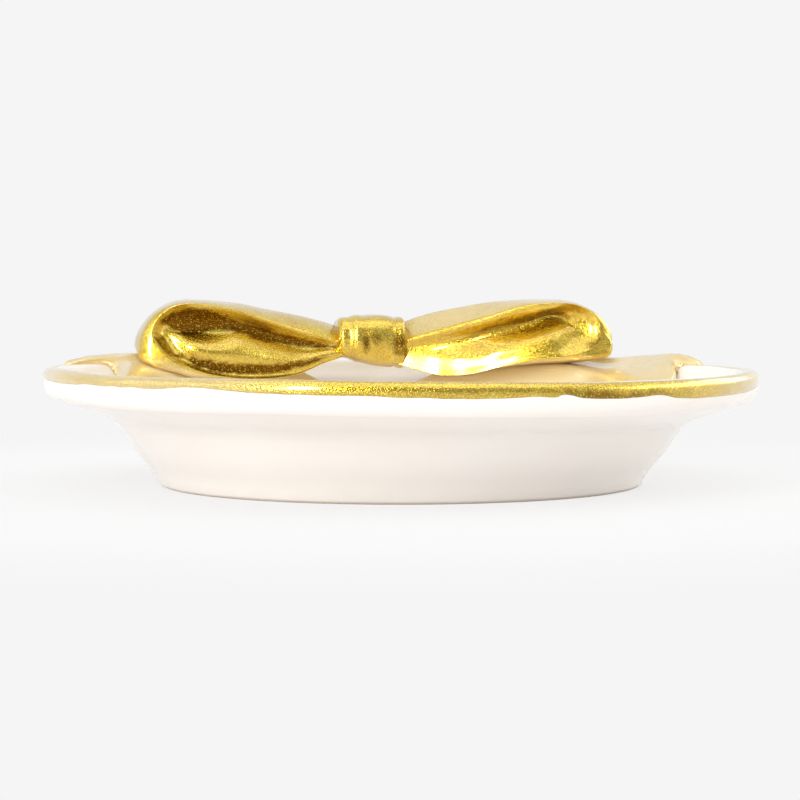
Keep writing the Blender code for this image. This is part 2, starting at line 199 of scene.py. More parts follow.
# White glaze: softly clouded, with the foot ring left bare
white_glaze, tree, shader = start_material("white glaze")
shader.inputs["IOR"].default_value = 1.5
place_on_piece = add_node(tree, "ShaderNodeTexCoord", (-1300, 0))
height_on_dish = add_node(tree, "ShaderNodeSeparateXYZ", (-1100, 200))
cloud = add_node(tree, "ShaderNodeTexNoise", (-1100, -100), Scale=38.0, Detail=3.0,
                 Roughness=0.55)
glaze_tone = add_ramp(tree, (-850, -100), (0.35, (0.915, 0.857, 0.797, 1)),
                      (0.65, (0.935, 0.882, 0.826, 1)))
bare = add_node(tree, "ShaderNodeMapRange", (-850, 300), interpolation_type="SMOOTHSTEP",
                From_Min=0.25 * mm, From_Max=0.7 * mm, To_Min=1.0, To_Max=0.0)
dish_colour = add_node(tree, "ShaderNodeMix", (-500, 100), data_type="RGBA",
                       B=(0.72, 0.63, 0.54, 1))
dish_roughness = add_node(tree, "ShaderNodeMapRange", (-500, -150), To_Min=0.16, To_Max=0.85)
surface = add_node(tree, "ShaderNodeGroup", (-700, -400), node_tree=uneven, Swell_Scale=70.0,
                   Swell_Height=0.35, Grain_Scale=900.0, Grain_Height=0.004)
bump = add_node(tree, "ShaderNodeBump", (-350, -350), Strength=0.6, Distance=0.6 * mm)
link_all(
    tree,
    (place_on_piece.outputs["Object"], height_on_dish.inputs[0]),
    (place_on_piece.outputs["Object"], cloud.inputs["Vector"]),
    (cloud.outputs["Fac"], glaze_tone.inputs["Fac"]),
    (height_on_dish.outputs["Z"], bare.inputs["Value"]),
    (bare.outputs["Result"], dish_colour.inputs["Factor"]),
    (glaze_tone.outputs["Color"], dish_colour.inputs["A"]),
    (dish_colour.outputs["Result"], shader.inputs["Base Color"]),
    (bare.outputs["Result"], dish_roughness.inputs["Value"]),
    (dish_roughness.outputs["Result"], shader.inputs["Roughness"]),
    (surface.outputs["Height"], bump.inputs["Height"]),
    (bump.outputs["Normal"], shader.inputs["Normal"]))

bm = bmesh.new()
corners = [bm.verts.new((radius * mm, 0, height * mm)) for radius, height, _ in dish_section]
for pair in zip(corners, corners[1:]):
    bm.edges.new(pair)
for corner, (_, _, rounding) in zip(corners, dish_section):
    if rounding:
        bmesh.ops.bevel(bm, geom=[corner], offset=rounding * mm, offset_type="OFFSET",
                        affect="VERTICES", segments=7, profile=0.5, material=-1)
long_runs = [edge for edge in bm.edges if edge.calc_length() > 1.2 * mm]
bmesh.ops.subdivide_edges(bm, edges=long_runs, cuts=7)
# The lip's outer face, in order from its lower edge up and over, for the gold to follow
lip_start = 61.2 * mm
lip_middle = (62.4 * mm, 18.2 * mm)
lip_line = sorted((Vector((vert.co.x, vert.co.z)) for vert in bm.verts if vert.co.x > lip_start),
                  key=lambda point: math.atan2(point.y - lip_middle[1], point.x - lip_middle[0]))
bmesh.ops.spin(bm, geom=bm.verts[:] + bm.edges[:], axis=(0, 0, 1), cent=(0, 0, 0),
               dvec=(0, 0, 0), angle=math.tau, steps=dish_turns, use_merge=True)
bmesh.ops.remove_doubles(bm, verts=bm.verts, dist=merge_distance)
bmesh.ops.recalc_face_normals(bm, faces=bm.faces)
bm.normal_update()
for vert in bm.verts:
    rise = out_of_true(vert.co)
    # The foot ring stays flat
    if vert.co.z > 2 * mm:
        vert.co += vert.normal * min(wobble(vert.co, *dish_dents), dish_dent_limit)
    vert.co.z += rise
dish = add_piece("dish_glazed_body", bm, white_glaze)
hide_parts("dish_body")


# Gold band
# A liquid gold lustre, brushed by hand round the lip's outer face and fired on. It is a skin
# whose lower edge wanders with the brush, and it reaches over the crest at the sides.
band_turns = 900
band_rows = 15
# How far it stands off the lip at its edges, how much more in between, and its thickness
band_gap, band_swell, band_thickness = 0.02, 0.11, 0.12
# The brush marks along it: how many lie round it and across it, their height, and its limit
marks_round, marks_across, mark_height, mark_limit = 9.5, 3, 0.045 * mm, 0.04 * mm
lip_radius = 64.1
# Height of the brushed lower edge in millimetres, at each angle in degrees
brushed_edge = (
    (0, 18.3), (12, 18.7), (24, 18.5), (45, 18.1), (58, 18.6), (70, 18.9), (84, 18.2), (95, 18.4),
    (120, 19.0), (133, 18.6), (145, 18.5), (170, 18.9), (185, 18.6), (196, 18.35), (203, 18.45),
    (208.5, 18.82), (213, 18.72), (215.6, 18.85), (218, 18.75), (220, 18.81), (222.5, 18.7),
    (225, 18.72), (230, 19.08), (232, 19.1), (236, 18.87), (239, 18.57), (243, 18.39),
    (248, 18.28), (259, 18.26), (261.2, 18.13), (265.3, 18.1), (269.4, 18.0), (273.6, 17.95),
    (277.8, 18.1), (281.4, 18.32), (284.5, 18.25), (285.4, 18.6), (286.9, 18.5),
    (288.7, 18.1), (294.8, 17.88), (299.6, 18.05), (301.9, 18.25), (303.9, 18.07),
    (306.4, 17.6), (312.3, 17.34), (318, 17.37), (329, 17.44), (340, 18.0), (350, 18.4),
    (360, 18.3),
)
# How far up and over the crest it reaches: past it at the sides, short of it in front
brushed_crest = ((0, 23.1), (20, 22.5), (90, 21.5), (160, 22.5), (190, 23.1), (203, 22.9),
                 (214, 22.2), (250, 22.3), (272, 22.2), (285, 21.7), (318, 21.6), (332, 22.4),
                 (343, 23.1), (360, 23.1))
# How much painted sheen lies round the lip, from none to 1, at each angle in degrees
band_sheen = ((0, 0.3), (90, 0.2), (180, 0.5), (195, 0.5), (207, 0.35), (222, 0.35), (235, 0.3),
                (245, 0.12), (254, 0.0), (300, 0.0), (318, 0.1), (330, 0.3), (342, 0.5),
                (360, 0.3))
# How much painted shade lies along the lower edge, in the same way, and how far up it reaches
band_shade = ((0, 0.0), (255, 0.0), (268, 0.1), (284, 0.15), (287, 0.7), (297, 0.7),
                 (305, 0.4), (314, 0.0), (360, 0.0))
shade_height = 1.5

gold_lustre, tree, shader = start_material("gold lustre")
shader.inputs["Coat Roughness"].default_value = 0.13
shader.inputs["Coat IOR"].default_value = 1.7
place_on_piece = add_node(tree, "ShaderNodeTexCoord", (-1300, 0))
patches = add_node(tree, "ShaderNodeTexNoise", (-1100, 100), Scale=260.0, Detail=4.0,
                   Roughness=0.6)
gold_tone = add_ramp(tree, (-850, 100), (0.3, (0.84, 0.56, 0.02, 1)), (0.7, (0.96, 0.73, 0.07, 1)))
# A fine grain of darker and paler flecks
flecks = add_node(tree, "ShaderNodeTexNoise", (-1100, -150), Scale=3900.0, Detail=1.0,
                  Roughness=0.5)
fleck_tone = add_ramp(tree, (-850, -150), (0.34, (0.64, 0.57, 0.44, 1)),
                      (0.66, (1.0, 1.0, 1.0, 1)))
flecked = add_node(tree, "ShaderNodeMix", (-600, 100), data_type="RGBA", blend_type="MULTIPLY",
                   Factor=1.0)
# Painted shade: deep brown without gloss where furrows and spots lie in shade, but for a few
# specks
painted_shade = add_node(tree, "ShaderNodeAttribute", (-1100, 400), attribute_name="painted_shade")
not_specks = add_node(tree, "ShaderNodeMapRange", (-850, -420), interpolation_type="SMOOTHSTEP",
                      From_Min=0.56, From_Max=0.74, To_Min=1.0, To_Max=0.25)
shade_between_specks = add_node(tree, "ShaderNodeMath", (-650, 350), operation="MULTIPLY")
gloss_left = add_node(tree, "ShaderNodeMath", (-450, 450), operation="SUBTRACT", use_clamp=True)
gloss_left.inputs[0].default_value = 1.0
shaded_gold = add_node(tree, "ShaderNodeMix", (-400, 150), data_type="RGBA",
                   B=(0.16, 0.066, 0.003, 1))
# Painted sheen: a pale peach, less metallic, laid where the gold is to look pale with reflected
# light
painted_sheen = add_node(tree, "ShaderNodeAttribute", (-500, 650), attribute_name="painted_sheen")
sheen_mix = add_node(tree, "ShaderNodeMix", (-200, 150), data_type="RGBA", B=(0.96, 0.81, 0.54, 1))
metal_left = add_node(tree, "ShaderNodeMath", (-200, 450), operation="MULTIPLY_ADD")
metal_left.inputs[1].default_value = -0.85
metal_left.inputs[2].default_value = 1.0
surface = add_node(tree, "ShaderNodeGroup", (-850, -300), node_tree=uneven, Swell_Scale=420.0,
                   Swell_Height=0.25, Grain_Scale=3600.0, Grain_Height=0.19)
gold_roughness = add_node(tree, "ShaderNodeMapRange", (-500, -100), To_Min=0.13, To_Max=0.24)
bump = add_node(tree, "ShaderNodeBump", (-400, -350), Strength=0.5, Distance=0.3 * mm)
link_all(
    tree,
    (place_on_piece.outputs["Object"], patches.inputs["Vector"]),
    (patches.outputs["Fac"], gold_tone.inputs["Fac"]),
    (place_on_piece.outputs["Object"], flecks.inputs["Vector"]),
    (flecks.outputs["Fac"], fleck_tone.inputs["Fac"]),
    (gold_tone.outputs["Color"], flecked.inputs["A"]),
    (fleck_tone.outputs["Color"], flecked.inputs["B"]),
    (flecks.outputs["Fac"], not_specks.inputs["Value"]),
    (painted_shade.outputs["Fac"], shade_between_specks.inputs[0]),
    (not_specks.outputs["Result"], shade_between_specks.inputs[1]),
    (shade_between_specks.outputs[0], shaded_gold.inputs["Factor"]),
    (flecked.outputs["Result"], shaded_gold.inputs["A"]),
    (shade_between_specks.outputs[0], gloss_left.inputs[1]),
    (gloss_left.outputs[0], shader.inputs["Coat Weight"]),
    (painted_sheen.outputs["Fac"], sheen_mix.inputs["Factor"]),
    (shaded_gold.outputs["Result"], sheen_mix.inputs["A"]),
    (sheen_mix.outputs["Result"], shader.inputs["Base Color"]),
    (painted_sheen.outputs["Fac"], metal_left.inputs[0]),
    (metal_left.outputs[0], shader.inputs["Metallic"]),
    (surface.outputs["Grain"], gold_roughness.inputs["Value"]),
    (gold_roughness.outputs["Result"], shader.inputs["Roughness"]),
    (surface.outputs["Height"], bump.inputs["Height"]),
    (bump.outputs["Normal"], shader.inputs["Normal"]))


def lip_reach(point):
    """Height on the lip's outer face, and on from that inwards over its crest."""
    return point.y + lip_radius * mm - point.x


def on_lip(reach):
    """The point this far up the lip's outer face and over it, and the direction out of it."""
    span = 0
    while span < len(lip_line) - 2 and lip_reach(lip_line[span + 1]) < reach:
        span += 1
    low, high = lip_line[span], lip_line[span + 1]
    share = (reach - lip_reach(low)) / (lip_reach(high) - lip_reach(low))
    along = high - low
    return low + along * clamped(share), Vector((along.y, -along.x)).normalized()


bm = bmesh.new()
bmesh.ops.create_grid(bm, x_segments=band_turns, y_segments=band_rows - 1, size=0.5)
for vert in bm.verts:
    turn, across = vert.co.x + 0.5, vert.co.y + 0.5
    angle = turn * 360
    around = Vector((math.cos(turn * math.tau), math.sin(turn * math.tau), 0))
    low = read(brushed_edge, angle) * mm + wobble(around, 0.05, 0.07 * mm)
    high = read(brushed_crest, angle) * mm + wobble(around * 2, 0.08, 0.06 * mm)
    point, outwards = on_lip(low + (high - low) * across)
    fullness = 1 - abs(2 * across - 1) ** 6
    point = point + outwards * (band_gap + band_swell * fullness) * mm
    mark = wobble(around * marks_round + Vector((0, 0, across * marks_across)), 1, mark_height)
    point = point + outwards * min(mark * fullness, mark_limit)
    vert.co = around * point.x
    vert.co.z = point.y
bmesh.ops.remove_doubles(bm, verts=bm.verts, dist=merge_distance)
bmesh.ops.recalc_face_normals(bm, faces=bm.faces)
bmesh.ops.solidify(bm, geom=bm.faces[:], thickness=band_thickness * mm)
# Painted sheen round the band, and painted shade low on its front right
sheen_layer = bm.verts.layers.float.new("painted_sheen")
shade_layer = bm.verts.layers.float.new("painted_shade")
for vert in bm.verts:
    angle = angle_of(vert.co)
    vert[sheen_layer] = read(band_sheen, angle)
    low_down = 1 - (vert.co.z / mm - read(brushed_edge, angle)) / shade_height
    streak = wobble(vert.co, 2.5 * mm, 0.8)
    vert[shade_layer] = read(band_shade, angle) * clamped(low_down * 1.4 + streak)
    vert.co.z += out_of_true(vert.co)
band = add_piece("gilt_rim_band", bm, gold_lustre)
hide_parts("rim_band")


# Ribbon tails
# Two strips of clay pressed on the flange, from under the loops round to a cut end. They are
# rounded over by hand, gilded all over, and ride up on the lip.
tail_steps = 170
tail_rows = 30
# Radius of their two long sides in millimetres, and angle of their two ends from the middle of
# the bow in degrees
tail_inner, tail_outer = 50.2, 63.8
tail_root, tail_tip = 9, 74
tail_thickness = 0.25
# How sharply their long sides turn down and over what share, and how sharply their cut ends do
side_power, side_share, end_power = 6, 0.3, 26
tail_dents = (7 * mm, 0.16 * mm)
# The flange that a tail lies on, and the tail's own top: height in millimetres at each radius
flange_top = ((48.6, 13.5), (49.6, 14.8), (51.0, 15.6), (55.0, 16.85), (58.5, 17.9), (59.8, 18.5),
              (60.4, 19.4), (61.1, 20.3), (62.4, 20.55), (63.3, 20.3), (63.9, 19.4))
tail_top = ((50.2, 15.9), (50.8, 17.0), (51.5, 18.3), (52.2, 19.4), (53.0, 20.15), (54.5, 20.7),
            (58.0, 21.2), (60.0, 21.65), (61.6, 22.1), (62.8, 21.9), (63.5, 21.1), (63.8, 20.3))
# Share of the full width from a tail's root to its tip
tail_cover = ((0.0, 0.10), (0.25, 0.52), (0.45, 1.0), (0.6, 1.0), (1.0, 1.0))
# How much painted sheen lies on the tails, from none to 1, at each angle in degrees from the
# middle
tail_sheen = ((9, 0.85), (50, 0.85), (60, 0.6), (74, 0.55))
# For each tail, its share of the full thickness from root to tip along its inner and along its
# outer side, and how far its cut end reaches from the inner side to the outer one
tails = {
    "left": dict(
        side=-1,
        inner_share=((0.0, 0.0), (0.12, 0.5), (0.3, 0.9), (0.5, 0.95), (0.62, 0.65), (0.78, 0.35),
                     (1.0, 0.1)),
        outer_share=((0.0, 0.0), (0.12, 0.5), (0.35, 1.0), (0.56, 1.13), (0.64, 1.08),
                     (0.72, 1.03), (0.81, 1.02), (0.89, 0.92), (1.0, 0.75)),
        cut_end=((0.0, 0.95), (0.33, 0.93), (0.48, 0.885), (0.60, 0.835), (0.75, 0.80),
                 (0.83, 0.84), (0.90, 0.92), (1.0, 1.03))),
    "right": dict(
        side=1,
        inner_share=((0.0, 0.0), (0.12, 0.5), (0.3, 0.9), (0.55, 1.0), (0.66, 0.65), (0.78, 0.35),
                     (1.0, 0.1)),
        outer_share=((0.0, 0.0), (0.12, 0.5), (0.35, 0.78), (0.55, 0.70), (0.68, 0.70),
                     (0.79, 1.05), (0.92, 1.5), (1.0, 1.35)),
        cut_end=((0.0, 1.04), (0.35, 1.03), (0.55, 1.0), (0.75, 0.955), (0.85, 0.985),
                 (1.0, 1.02))),
}
for name, form in tails.items():
    bm = bmesh.new()
    bmesh.ops.create_grid(bm, x_segments=tail_steps, y_segments=tail_rows, size=0.5)
    for vert in bm.verts:
        along, across = vert.co.x + 0.5, vert.co.y + 0.5
        # The rows lie closer together at the two sides
        across = across + 0.04 * math.sin(math.tau * across)
        width = (tail_outer - tail_inner) * read(tail_cover, along)
        radius = tail_inner + width * across
        reach = tail_root + (tail_tip * read(form["cut_end"], across) - tail_root) * along
        plump = min(1, (1 - abs(2 * across - 1) ** side_power) / side_share) ** 0.5
        plump *= (1 - along ** end_power) ** 0.5
        bed = read(flange_top, radius) - tail_thickness * (1 - plump)
        outwards = eased(across, 0, 1)
        cover = (read(form["inner_share"], along) * (1 - outwards)
                 + read(form["outer_share"], along) * outwards)
        height = bed + (read(tail_top, radius) - bed) * cover * plump
        angle = math.radians(reach)
        place = Vector((form["side"] * radius * math.sin(angle), radius * math.cos(angle),
                        height)) * mm
        place.z += out_of_true(place) + wobble(place, *tail_dents) * plump
        vert.co = place
    bmesh.ops.recalc_face_normals(bm, faces=bm.faces)
    bmesh.ops.solidify(bm, geom=bm.faces[:], thickness=tail_thickness * mm)
    # Painted sheen on the tails
    sheen_layer = bm.verts.layers.float.new("painted_sheen")
    for vert in bm.verts:
        vert[sheen_layer] = read(tail_sheen, abs(math.degrees(math.atan2(vert.co.x, vert.co.y))))
    tail = add_piece("gilt_tail_" + name, bm, gold_lustre)
    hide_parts("bow_tail_" + name)


# Loops
# Each loop is a puffed pillow of clay, folded like ribbon: a dished face framed by a thin
# ridge, a crowned top band behind it and a round back. It is pressed on its tail and gilded.
loop_points = 64
# Where they leave the knot and how long they are from there, how high their lowest point lies and
# how high they are from there, and how deep they are, in millimetres
neck, loop_length = 6.8, 40.8
belly, loop_height, loop_depth = 17.7, 15.7, 22.5
loop_dents = (6 * mm, 0.1 * mm)
# How deep the top band is from front to back
crown_depth = 6.0
# Where the rings of the face lie, from its valley out to its ridge
face_insets = (1.0, 0.95, 0.89, 0.83, 0.77, 0.71, 0.65, 0.59, 0.53, 0.47, 0.41, 0.36, 0.31, 0.26,
               0.215, 0.17, 0.13, 0.095, 0.065, 0.035, 0.015, 0.0)
crown_steps, back_steps = 12, 14
# Reach in front of and behind the bow's middle line, as shares of the depth along the loop
front_reach = ((-0.04, 0.17), (0.0, 0.20), (0.10, 0.26), (0.25, 0.36), (0.45, 0.46), (0.70, 0.47),
               (0.90, 0.34), (1.0, 0.24))
back_reach = ((-0.04, 0.18), (0.0, 0.22), (0.15, 0.30), (0.35, 0.40), (0.60, 0.40), (0.80, 0.32),
              (1.0, 0.06))
# Where the across_hollow tables below have the valley of the dished face
valley_place = 0.62
# Where the loop begins inside the knot, and how much of its length the valley has
loop_start, valley_reach = -0.04, 0.86
# How far above the flange the underside rests, over how much of its height it settles there, and
# the radius beyond which the flange counts as level
rest_height, settle_share, level_radius = 2.6, 2.2, 62.5
# Where the face turns into a round bowl, where the far end leans back and by how much, and where
# the top band folds over, all as shares of the length but for the lean in millimetres
bowl_start, bowl_end = 0.68, 0.88
lean_start, lean_end, lean = 0.7, 0.9, 2.5
fold_start, fold_run = 0.78, 0.14
# How much painted sheen lies on top of the loops, from none to 1, from left to right, and at
# their foot, below a height
sheen_on_top = ((-48, 0.0), (6, 0.0), (10, 0.35), (26, 0.35), (38, 0.15), (46, 0.0))
sheen_at_foot, foot_top, foot_fade = 0.45, 22.5, 3
# Over how many millimetres a patch of painted shade fades out
shade_fade = 0.7
# The form of each loop, in shares of its length and height:
# - ridge: its lower line out to the loop's end, and then its upper line back
# - outline: the same for the fullest outline behind the ridge
# - hollow: how deep the dished face is, in millimetres
# - along_hollow, across_hollow: share of that along the loop, and from the lower to the upper line
# - valley_line: height of the valley between those two lines, along the loop
# - band_hollow: how hollow the top band is, along the loop
# - foot_spread: how far the foot spreads forwards, in millimetres
# - shade patches: painted shade on the face, as an upper line, a lower line and an amount, in
#   millimetres from the middle of the bow and from the table
far_point = 10
loops = {
    "left": dict(
        side=-1,
        ridge=((-0.04, 0.28), (0.0, 0.24), (0.085, 0.17), (0.20, 0.05), (0.33, 0.0), (0.476, 0.0),
               (0.627, 0.05), (0.74, 0.15), (0.835, 0.28), (0.895, 0.46), (0.912, 0.58),
               (0.90, 0.70), (0.86, 0.83), (0.79, 0.925), (0.694, 0.93), (0.538, 0.865),
               (0.365, 0.73), (0.20, 0.59), (0.10, 0.52), (0.0, 0.45), (-0.04, 0.42)),
        outline=((-0.04, 0.28), (0.0, 0.24), (0.085, 0.19), (0.20, 0.09), (0.33, 0.02),
                 (0.476, 0.0), (0.627, -0.03), (0.756, -0.06), (0.88, -0.04), (0.98, 0.08),
                 (0.997, 0.33), (0.975, 0.60), (0.91, 0.83), (0.80, 0.98), (0.66, 0.99),
                 (0.50, 0.945), (0.365, 0.875), (0.22, 0.80), (0.10, 0.73), (0.0, 0.655),
                 (-0.04, 0.62)),
        hollow=3.6,
        along_hollow=((-0.04, 0.10), (0.0, 0.18), (0.10, 0.42), (0.30, 0.80), (0.45, 0.86),
                      (0.54, 0.84), (0.68, 1.0), (0.80, 0.92), (0.92, 0.55), (1.0, 0.0)),
        across_hollow=((0.0, 0.0), (0.025, 0.22), (0.06, 0.38), (0.11, 0.42), (0.18, 0.32),
                       (0.27, 0.14), (0.36, 0.20), (0.48, 0.56), (0.56, 0.84), (0.62, 0.98),
                       (0.69, 1.0), (0.78, 0.80), (0.88, 0.42), (0.95, 0.14), (1.0, 0.0)),
        valley_line=((0.0, 0.60), (0.29, 0.62), (0.45, 0.68), (0.54, 0.68), (0.69, 0.58),
                     (0.85, 0.55), (1.0, 0.5)),
        band_hollow=((0.0, 1.0), (1.0, 1.0)),
        foot_spread=((0.0, 0.0), (0.5, 0.0), (0.62, 0.5), (0.74, 0.9), (0.84, 0.4), (0.92, 0.0),
                     (1.03, 0.0)),
        shade_patches=(
            (((6.0, 23.9), (8.4, 24.4), (14.7, 25.9), (20.4, 27.3), (26.0, 28.9), (30.5, 30.7),
              (34.4, 31.7), (37.5, 31.8), (40.5, 30.9), (43.2, 29.2)),
             ((6.0, 23.5), (8.4, 23.4), (11.6, 23.4), (17.4, 23.9), (23.2, 24.8), (27.6, 26.4),
              (30.0, 27.1), (33.0, 26.6), (36.7, 25.9), (39.2, 26.6), (41.5, 28.0),
              (43.2, 29.0)), 1.0),
            (((9.1, 22.2), (11.8, 21.8), (17.6, 21.1), (23.3, 20.8), (28.9, 21.2), (34.4, 21.9),
              (38.3, 22.7), (41.0, 23.0)),
             ((9.1, 21.6), (11.8, 20.4), (17.4, 18.9), (20.5, 18.4), (26.2, 18.2), (30.6, 18.5),
              (35.1, 19.7), (38.0, 21.2), (41.0, 22.6)), 1.0))),
    "right": dict(
        side=1,
        ridge=((-0.04, 0.16), (0.0, 0.13), (0.08, 0.07), (0.17, 0.02), (0.30, 0.04), (0.45, 0.14),
               (0.60, 0.23), (0.75, 0.27), (0.86, 0.34), (0.925, 0.47), (0.945, 0.58),
               (0.935, 0.69), (0.885, 0.83), (0.80, 0.925), (0.68, 0.945), (0.538, 0.89),
               (0.365, 0.75), (0.20, 0.625), (0.10, 0.55), (0.0, 0.46), (-0.04, 0.43)),
        outline=((-0.04, 0.16), (0.0, 0.13), (0.085, 0.09), (0.20, 0.06), (0.33, 0.07),
                 (0.476, 0.12), (0.627, 0.16), (0.756, 0.17), (0.88, 0.17), (0.99, 0.20),
                 (1.01, 0.38), (1.0, 0.58), (0.925, 0.82), (0.80, 0.97), (0.66, 0.995),
                 (0.50, 0.98), (0.365, 0.935), (0.215, 0.86), (0.09, 0.78), (0.0, 0.69),
                 (-0.04, 0.66)),
        hollow=3.9,
        along_hollow=((-0.04, 0.05), (0.0, 0.09), (0.12, 0.27), (0.35, 0.68), (0.60, 0.97),
                      (0.73, 1.0), (0.81, 0.68), (0.89, 0.28), (0.94, 0.08), (1.0, 0.0)),
        across_hollow=((0.0, 0.0), (0.05, 0.03), (0.12, 0.10), (0.22, 0.16), (0.32, 0.30),
                       (0.44, 0.62), (0.54, 0.90), (0.62, 1.0), (0.70, 0.90), (0.80, 0.52),
                       (0.88, 0.16), (0.94, 0.02), (1.0, 0.0)),
        valley_line=((0.0, 0.66), (0.3, 0.62), (0.5, 0.57), (0.62, 0.62), (0.75, 0.77),
                     (0.88, 0.82), (1.0, 0.82)),
        band_hollow=((0.0, 2.2), (0.35, 2.0), (0.55, 1.0), (1.0, 1.0)),
        foot_spread=((0.0, 0.0), (0.5, 0.0), (0.65, 0.3), (0.8, 0.6), (0.95, 0.8), (1.03, 0.5)),
        shade_patches=(
            (((14.5, 24.5), (17.9, 25.8), (21.6, 27.5), (25.4, 28.9), (29.1, 30.1), (31.9, 30.9),
              (35.0, 31.4), (38.0, 30.9), (40.0, 29.9)),
             ((14.5, 24.2), (17.9, 24.5), (21.7, 24.9), (25.6, 25.7), (29.5, 26.4), (33.4, 26.9),
              (36.4, 27.8), (38.5, 28.9), (40.0, 29.8)), 0.62),
            (((41.2, 24.6), (43.0, 25.3), (45.0, 25.9), (46.8, 25.6)),
             ((41.2, 23.6), (43.0, 22.8), (45.0, 22.6), (46.8, 23.0)), 0.75))),
}


def line_through(points, end, count):
    """Even points on the smooth line through the given ones: half up to the end, half back."""
    points = [Vector(point) for point in points]
    ends = [2 * points[0] - points[1]] + points + [2 * points[-1] - points[-2]]
    places = [end * step / (count - 0.5) for step in range(count)]
    back = len(points) - 1 - end
    places += [len(points) - 1 - back * step / (count - 0.5) for step in range(count)][::-1]
    line = []
    for place in places:
        span = min(int(place), len(points) - 2)
        t = place - span
        a, b, c, d = ends[span:span + 4]
        line.append(b + (c - a) * (t / 2) + (2 * a - 5 * b + 4 * c - d) * (t * t / 2)
                    + (3 * b - a - 3 * c + d) * (t ** 3 / 2))
    return line


def bow_line(x):
    """Where the bow's middle line runs, from front to back, this far out from the centre."""
    return 48.5 - 8.5 * (x / 47.6) ** 2


def how_shaded(place, shade_patches):
    """How much shade is painted at a place on a loop's face, from none to 1."""
    out, height = abs(place.x) / mm, place.z / mm
    most = 0
    for upper, lower, amount in shade_patches:
        if upper[0][0] < out < upper[-1][0]:
            ragged = wobble(place, 1.1 * mm, 0.5)
            depth = min(read(upper, out) - height, height - read(lower, out)) + ragged
            depth = min(depth, (out - upper[0][0]) / 2, (upper[-1][0] - out) / 2)
            most = max(most, amount * eased(depth, 0, shade_fade))
    return most


for name, form in loops.items():
    ridge = line_through(form["ridge"], far_point, loop_points)
    outline = line_through(form["outline"], far_point, loop_points)

    def place_on_loop(point, depth):
        """A point of the loop from its shares of length and height, settled on what is under."""
        x = neck + point.x * loop_length
        bed = read(flange_top, min(math.hypot(x, depth), level_radius)) + rest_height - belly
        rise = point.y * loop_height
        if rise < bed * settle_share:
            rise = bed + rise * (1 - 2 / settle_share) + (rise / settle_share) ** 2 / bed
        depth += eased(point.x, lean_start, lean_end) * lean * (point.y - 0.5)
        return Vector((form["side"] * x, depth, belly + rise)) * mm

    def front(share):
        return bow_line(neck + share * loop_length) - read(front_reach, share) * loop_depth

    def back(share):
        return bow_line(neck + share * loop_length) + read(back_reach, share) * loop_depth

    rings = []
    for inset in face_insets:
        ring = []
        for index, point in enumerate(ridge):
            is_upper = index >= loop_points
            facing = ridge[2 * loop_points - 1 - index]
            lower, upper = (facing, point) if is_upper else (point, facing)
            valley = lower.lerp(upper, read(form["valley_line"], lower.x))
            valley.x = loop_start + (valley.x - loop_start) * valley_reach
            inner = point.lerp(valley, inset)
            across = 1 - (1 - valley_place) * inset if is_upper else valley_place * inset
            bowl = eased(inner.x, bowl_start, bowl_end)
            shape = read(form["across_hollow"], across) * (1 - bowl)
            shape += math.sin(min(inset * 2, 1) * math.pi / 2) * bowl
            shape *= read(form["along_hollow"], inner.x)
            ring.append(place_on_loop(inner, front(inner.x) + shape * form["hollow"]))
        rings.append(ring)
    for step in range(1, crown_steps + 1):
        share = step / crown_steps
        angle = math.pi / 2 * share
        ring = []
        for index, (inner, outer) in enumerate(zip(ridge, outline)):
            rise = (share ** read(form["band_hollow"], inner.x) + math.sin(angle)) / 2
            point = inner.lerp(outer, rise)
            # The folded end turns back slowly at first, and so catches a broad streak of light
            folded = clamped((inner.x - fold_start) / fold_run)
            even = 0.5 - 0.42 * folded
            turned = (1 - math.cos(angle)) ** (1 + 1.5 * folded)
            depth = crown_depth * (share * even + turned * (1 - even))
            if index < loop_points:
                depth -= read(form["foot_spread"], inner.x) * math.sin(math.pi * share) ** 2
            ring.append(place_on_loop(point, front(point.x) + depth))
        rings.append(ring)
    for step in range(1, back_steps + 1):
        angle = math.pi / 2 * step / back_steps
        ring = []
        for index, outer in enumerate(outline):
            lower = outline[min(index, 2 * loop_points - 1 - index)]
            point = lower.lerp(outer, math.cos(angle))
            start = front(point.x) + crown_depth
            ring.append(place_on_loop(point, start + (back(point.x) - start) * math.sin(angle)))
        rings.append(ring)

    bm = bmesh.new()
    shade_layer = bm.verts.layers.float.new("painted_shade")
    sheen_layer = bm.verts.layers.float.new("painted_sheen")
    circles = []
    for index, ring in enumerate(rings):
        circles.append([bm.verts.new(place) for place in ring])
        # Painted shade on the face rings; painted sheen on the top band and the foot
        if index < len(face_insets) - 1:
            for vert in circles[-1]:
                vert[shade_layer] = how_shaded(vert.co, form["shade_patches"])
        if index > len(face_insets):
            at_front = min((len(rings) - 1 - index) / back_steps, 1)
            for number, vert in enumerate(circles[-1]):
                if number > loop_points:
                    vert[sheen_layer] = read(sheen_on_top, vert.co.x / mm) * at_front
                else:
                    low_down = clamped((foot_top - vert.co.z / mm) / foot_fade)
                    vert[sheen_layer] = sheen_at_foot * low_down
    for first, second in zip(circles, circles[1:]):
        for corner in range(-1, 2 * loop_points - 1):
            bm.faces.new((first[corner], first[corner + 1], second[corner + 1], second[corner]))
    bmesh.ops.remove_doubles(bm, verts=bm.verts, dist=0.01 * mm)
    necks = [edge for edge in bm.edges if edge.is_boundary]
    bmesh.ops.holes_fill(bm, edges=necks, sides=0)
    bmesh.ops.recalc_face_normals(bm, faces=bm.faces)
    bm.normal_update()
    for vert in bm.verts:
        vert.co += vert.normal * wobble(vert.co, *loop_dents)
    loop = add_piece("gilt_loop_" + name, bm, gold_lustre)
    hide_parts("bow_loop_" + name)


